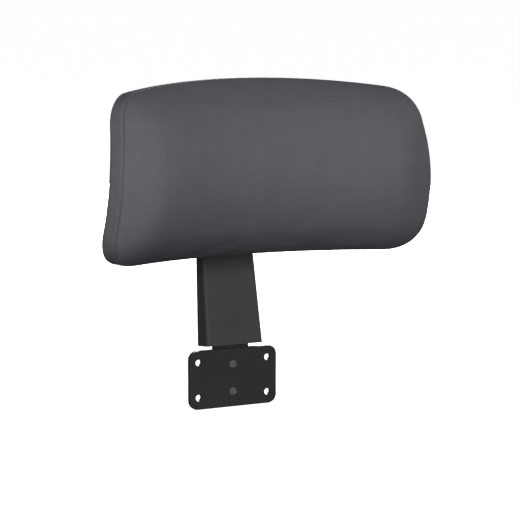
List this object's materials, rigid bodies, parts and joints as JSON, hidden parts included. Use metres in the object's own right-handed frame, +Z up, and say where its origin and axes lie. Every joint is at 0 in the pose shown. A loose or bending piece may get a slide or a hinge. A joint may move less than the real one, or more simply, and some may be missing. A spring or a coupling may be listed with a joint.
{
  "type": "chair headrest attachment",
  "caption": "Curved padded headrest on a flat arm that bolts behind a chair back; the cushion tilts on a friction hinge and slides up and down the arm.",
  "frame": {"origin": "centre of the four-bolt pattern, on the bracket face that lies against the chair back", "axes": "+Z up, the cushion faces -Y, +X along the cushion's width"},
  "size_m": [0.3426, 0.1878, 0.3336],
  "materials": {
    "cover_fabric": "fine plain weave",
    "foam": "open-cell foam",
    "moulded_plastic": "fine moulded grain",
    "board_plastic": "smooth moulded",
    "slippery_plastic": "satin",
    "friction_lining": "dense fibre-filled rubber",
    "black_steel": "fine powder coat",
    "zinc_steel": "zinc plated",
    "spring_steel": "rolled",
    "brass": "knurled",
    "rubber": "matt"
  },
  "bodies": {
    "headrest": {"fabric_cover": "cover_fabric", "foam_pad": "foam", "inner_carrier": "board_plastic", "threaded_inserts": "brass", "cover_hem_strip": "board_plastic", "rear_shell": "moulded_plastic", "rear_shell_screws": "zinc_steel", "hinge_bracket": "black_steel", "hinge_bracket_screws": "zinc_steel", "spacer_sleeve": "zinc_steel"},
    "carriage": {"friction_washers": "friction_lining", "plain_washers": "zinc_steel", "hinge_bolt": "zinc_steel", "lock_nut": "zinc_steel", "bolt_head_cap": "moulded_plastic", "nut_cap": "moulded_plastic", "carriage_front": "moulded_plastic", "carriage_rear": "moulded_plastic", "carriage_screws": "zinc_steel", "lower_glide_collar": "slippery_plastic", "upper_glide_collar": "slippery_plastic", "friction_pad": "friction_lining", "leaf_spring": "spring_steel"},
    "arm": {"arm_front_cover": "moulded_plastic", "arm_rear_cover": "moulded_plastic", "arm_cover_screws": "zinc_steel", "arm_core": "black_steel", "arm_top_cap": "moulded_plastic", "top_cap_screw": "zinc_steel", "lower_stop_ring": "rubber", "upper_stop_ring": "rubber", "mounting_bracket": "black_steel", "core_bolts": "zinc_steel"}
  },
  "joints": [
    {"name": "height_slide", "type": "slide", "parent": "arm", "child": "carriage", "axis": [0, 0.1426, 0.9898], "range_m": [-0.02, 0.04]},
    {"name": "tilt_hinge", "type": "hinge", "parent": "carriage", "child": "headrest", "pos_m": [0, -0.00957, 0.20722], "axis": [1, 0, 0], "range_deg": [-25, 15]}
  ]
}
